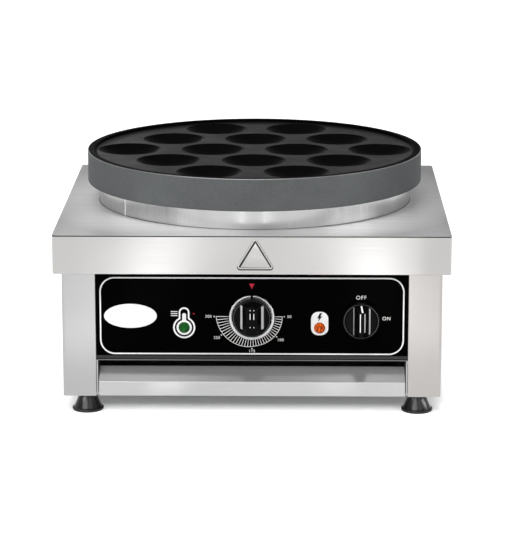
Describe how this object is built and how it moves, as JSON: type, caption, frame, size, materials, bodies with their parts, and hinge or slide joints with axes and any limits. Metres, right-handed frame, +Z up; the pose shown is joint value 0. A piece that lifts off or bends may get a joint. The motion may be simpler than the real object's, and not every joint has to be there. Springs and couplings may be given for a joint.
{
  "type": "pancake maker",
  "caption": "Countertop electric pancake maker: round cast plate with shallow moulds on a folded steel body, with thermostat dial, rotary switch, lamps and pull-out crumb tray.",
  "frame": {"origin": "on the worktop, under the middle of the deck", "axes": "+Z up, -Y to the front where the controls are, +X to the right seen from the front"},
  "size_m": [0.45, 0.4438, 0.275],
  "materials": {
    "brushed_steel": "brushed stainless sheet",
    "plain_steel": "plain mill sheet and tube",
    "zinc_fasteners": "bright zinc",
    "coated_iron": "grey side, black non-stick top",
    "ceramic_wool": "felted heat-proof wool",
    "gloss_black": "gloss black printed fascia",
    "knob_black": "satin black moulding",
    "bright_trim": "satin bright metal",
    "green_lens": "clear green lens",
    "orange_lens": "clear orange lens",
    "control_housing": "moulded housing",
    "porcelain": "unglazed",
    "brass": "plain brass and copper",
    "lead_sleeve": "silicone sleeve",
    "rubber": "black rubber"
  },
  "bodies": {
    "chassis": {"base_pan": "plain_steel", "left_side_panel": "brushed_steel", "right_side_panel": "brushed_steel", "rear_panel": "brushed_steel", "deck": "brushed_steel", "skirt_badge": "brushed_steel", "plate_collar": "brushed_steel", "front_panel": "brushed_steel", "panel_overlay": "gloss_black", "divider_shelf": "plain_steel", "left_tray_runner": "plain_steel", "right_tray_runner": "plain_steel", "cooking_plate": "coated_iron", "heating_element": "plain_steel", "press_plate": "plain_steel", "insulation_pad": "ceramic_wool", "heat_pan": "plain_steel", "front_cross_bar": "plain_steel", "rear_cross_bar": "plain_steel", "plate_studs": "zinc_fasteners", "plate_nuts": "zinc_fasteners", "bulb_saddles": "plain_steel", "thermostat_bulb": "brass", "thermostat_capillary": "brass", "thermostat_body": "control_housing", "thermostat_nut": "zinc_fasteners", "switch_body": "control_housing", "switch_nut": "zinc_fasteners", "green_lens": "green_lens", "orange_lens": "orange_lens", "green_lamp_holder": "control_housing", "orange_lamp_holder": "control_housing", "terminal_block": "porcelain", "terminal_screws": "brass", "earth_stud": "brass", "earth_nut": "brass", "leads": "lead_sleeve", "cable_gland": "control_housing", "gland_cap": "control_housing", "gland_seal": "rubber", "gland_locknut": "control_housing", "front_left_foot": "rubber", "front_right_foot": "rubber", "rear_left_foot": "rubber", "rear_right_foot": "rubber", "foot_screws": "zinc_fasteners", "foot_nuts": "zinc_fasteners", "deck_studs": "zinc_fasteners", "deck_nuts": "zinc_fasteners", "panel_studs": "zinc_fasteners", "panel_nuts": "zinc_fasteners", "rear_screws": "zinc_fasteners", "shelf_screws": "zinc_fasteners"},
    "thermostat_dial": {"thermostat_shaft": "plain_steel", "thermostat_knob": "knob_black", "knob_trim_ring": "bright_trim"},
    "switch_dial": {"switch_shaft": "plain_steel", "switch_knob": "knob_black"},
    "tray": {"crumb_tray": "brushed_steel"}
  },
  "joints": [
    {"name": "thermostat_turn", "type": "hinge", "parent": "chassis", "child": "thermostat_dial", "pos_m": [0, -0.2, 0.117], "axis": [0, 1, 0], "range_deg": [0, 270]},
    {"name": "switch_turn", "type": "hinge", "parent": "chassis", "child": "switch_dial", "pos_m": [0.124, -0.2, 0.114], "axis": [0, 1, 0], "range_deg": [0, 90]},
    {"name": "tray_slide", "type": "slide", "parent": "chassis", "child": "tray", "axis": [0, -1, 0], "range_m": [0, 0.3]}
  ]
}
